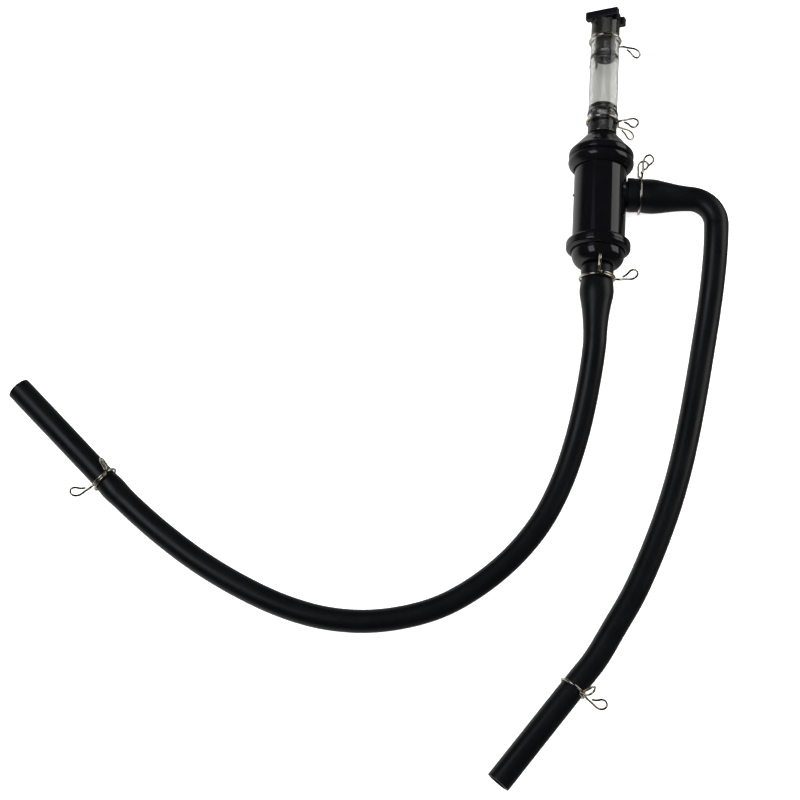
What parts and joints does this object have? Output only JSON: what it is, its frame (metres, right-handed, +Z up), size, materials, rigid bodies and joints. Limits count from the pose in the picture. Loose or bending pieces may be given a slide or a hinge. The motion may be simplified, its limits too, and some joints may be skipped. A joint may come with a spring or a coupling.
{
  "type": "gravel vacuum siphon",
  "caption": "Canister with a side outlet, a plugged clear sight tube and moulded suction and outlet hoses held by double-wire spring clamps; it draws water and debris off gravel.",
  "frame": {"origin": "on the surface it lies on, under the middle of the bounding box of the canister, its sight tube, stopper and the clamps on them, without the hoses", "axes": "+Y along the canister's axis from the bottom port towards the stopper, +X towards the side port, +Z up; it lies on its side"},
  "size_m": [0.4712, 0.5382, 0.0505],
  "materials": {
    "gloss_black_plastic": "polished injection-moulded ABS",
    "black_rubber": "smooth moulded EPDM rubber with a soft sheen",
    "clear_pvc": "clear flexible PVC tube",
    "stopper_plastic": "satin moulded thermoplastic elastomer",
    "spring_wire": "bright zinc-plated spring steel wire",
    "seal_rubber": "soft nitrile rubber",
    "inner_plastic": "moulded polypropylene",
    "ball_plastic": "moulded polypropylene ball"
  },
  "bodies": {
    "canister": {"barrel": "gloss_black_plastic", "top_cap": "gloss_black_plastic", "top_collar": "gloss_black_plastic", "bottom_cap": "gloss_black_plastic", "bottom_collar": "gloss_black_plastic", "top_seal": "seal_rubber", "bottom_seal": "seal_rubber", "ball_cage": "inner_plastic", "strainer": "inner_plastic", "sight_tube": "clear_pvc", "suction_hose_cuff": "black_rubber", "suction_hose": "black_rubber", "outlet_hose_elbow": "black_rubber", "outlet_hose": "black_rubber"},
    "stopper": {"stopper": "stopper_plastic"},
    "check_ball": {"check_ball": "ball_plastic"},
    "tube_top_clamp": {"tube_top_clamp": "spring_wire"},
    "tube_bottom_clamp": {"tube_bottom_clamp": "spring_wire"},
    "bottom_port_clamp": {"bottom_port_clamp": "spring_wire"},
    "side_port_clamp": {"side_port_clamp": "spring_wire"},
    "suction_end_clamp": {"suction_end_clamp": "spring_wire"},
    "outlet_end_clamp": {"outlet_end_clamp": "spring_wire"}
  },
  "joints": [
    {"name": "stopper_pull", "type": "slide", "parent": "canister", "child": "stopper", "axis": [0, 1, 0], "range_m": [0, 0.04]},
    {"name": "check_ball_lift", "type": "slide", "parent": "canister", "child": "check_ball", "axis": [0, 1, 0], "range_m": [0, 0.004]},
    {"name": "tube_top_clamp_slide", "type": "slide", "parent": "canister", "child": "tube_top_clamp", "axis": [0, -1, 0], "range_m": [0, 0.03]},
    {"name": "tube_bottom_clamp_turn", "type": "hinge", "parent": "canister", "child": "tube_bottom_clamp", "pos_m": [-0.0087, 0.0228, 0.02241], "axis": [0, 1, 0], "continuous": true},
    {"name": "bottom_port_clamp_turn", "type": "hinge", "parent": "canister", "child": "bottom_port_clamp", "pos_m": [-0.0087, -0.0939, 0.02241], "axis": [0, 1, 0], "continuous": true},
    {"name": "side_port_clamp_turn", "type": "hinge", "parent": "canister", "child": "side_port_clamp", "pos_m": [0.0182, -0.0308, 0.02241], "axis": [1, 0, 0], "continuous": true},
    {"name": "suction_end_clamp_slide", "type": "slide", "parent": "canister", "child": "suction_end_clamp", "axis": [-0.7433, 0.669, 0], "range_m": [0, 0.07]},
    {"name": "outlet_end_clamp_slide", "type": "slide", "parent": "canister", "child": "outlet_end_clamp", "axis": [-0.5837, -0.812, 0], "range_m": [0, 0.06]}
  ]
}
